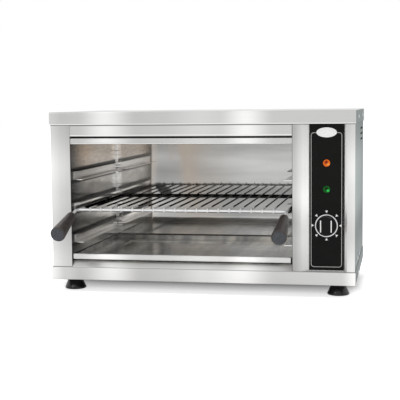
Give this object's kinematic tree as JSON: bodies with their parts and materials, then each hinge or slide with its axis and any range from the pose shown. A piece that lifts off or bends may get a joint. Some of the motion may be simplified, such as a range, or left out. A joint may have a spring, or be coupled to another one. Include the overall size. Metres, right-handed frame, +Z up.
{
  "type": "cheese melter",
  "caption": "Counter-top cheese melter: wide open-fronted stainless chamber with top heat, runners, a wire grid on two dark grips, a crumb tray and a black control strip on the right.",
  "frame": {"origin": "on the counter, under the middle of the whole machine's box, handles and cable gland included; the casing's middle is 58 mm behind it", "axes": "+Z up, -Y out of the open front, +X to the right of someone standing in front of it"},
  "size_m": [0.6448, 0.543, 0.38],
  "materials": {
    "brushed_steel": "satin, brushed along the length",
    "chamber_steel": "satin, heat-tinted",
    "mirror_steel": "bright annealed",
    "grid_chrome": "bright plated wire",
    "plated_steel": "zinc plated",
    "element_sheath": "oxidised sheath",
    "black_plate": "satin black",
    "knob_black": "satin",
    "knob_ring": "bright",
    "grip_brown": "moulded, dark brown-grey",
    "lens_orange": "clear moulded",
    "lens_green": "clear moulded",
    "white_plastic": "moulded",
    "ceramic": "unglazed",
    "brass": "bare",
    "copper": "bare copper",
    "black_plastic": "moulded",
    "wool": "mineral wool",
    "foot_rubber": "satin rubber"
  },
  "bodies": {
    "casing": {"base_pan": "brushed_steel", "left_side_panel": "brushed_steel", "right_side_panel": "brushed_steel", "rear_panel": "brushed_steel", "top_cover": "brushed_steel", "front_header": "brushed_steel", "control_panel": "brushed_steel", "control_plate": "black_plate", "chamber_left_wall": "chamber_steel", "chamber_right_wall": "chamber_steel", "chamber_rear_wall": "mirror_steel", "chamber_floor": "brushed_steel", "reflector": "brushed_steel", "left_rear_corner": "mirror_steel", "right_rear_corner": "mirror_steel", "left_runner_low": "chamber_steel", "left_runner_middle": "chamber_steel", "left_runner_high": "chamber_steel", "right_runner_low": "chamber_steel", "right_runner_middle": "chamber_steel", "right_runner_high": "chamber_steel", "heating_elements": "element_sheath", "element_hangers": "plated_steel", "element_bushes": "ceramic", "element_terminals": "brass", "thermostat": "white_plastic", "thermostat_bulb": "copper", "bulb_clips": "plated_steel", "orange_lamp_lens": "lens_orange", "green_lamp_lens": "lens_green", "orange_lamp_body": "white_plastic", "green_lamp_body": "white_plastic", "terminal_block": "white_plastic", "side_bracket": "plated_steel", "bracket_screws": "plated_steel", "cable_gland": "black_plastic", "gland_nut": "black_plastic", "left_insulation": "wool", "right_insulation": "wool", "rear_insulation": "wool", "top_insulation": "wool", "front_left_foot": "foot_rubber", "front_right_foot": "foot_rubber", "rear_left_foot": "foot_rubber", "rear_right_foot": "foot_rubber", "foot_screws": "plated_steel", "foot_nuts": "plated_steel", "cover_screws": "plated_steel", "panel_screws": "plated_steel"},
    "grid": {"wire_grid": "grid_chrome", "left_handle_rod": "grid_chrome", "right_handle_rod": "grid_chrome", "left_grip": "grip_brown", "right_grip": "grip_brown"},
    "tray": {"crumb_tray": "brushed_steel"},
    "knob": {"control_knob": "knob_black", "knob_ring": "knob_ring", "thermostat_spindle": "plated_steel"}
  },
  "joints": [
    {"name": "grid_slide", "type": "slide", "parent": "casing", "child": "grid", "axis": [0, -1, 0], "range_m": [0, 0.25]},
    {"name": "tray_slide", "type": "slide", "parent": "casing", "child": "tray", "axis": [0, -1, 0], "range_m": [0, 0.3]},
    {"name": "knob_turn", "type": "hinge", "parent": "casing", "child": "knob", "pos_m": [0.2615, -0.1422, 0.1475], "axis": [0, 1, 0], "range_deg": [0, 270]}
  ]
}
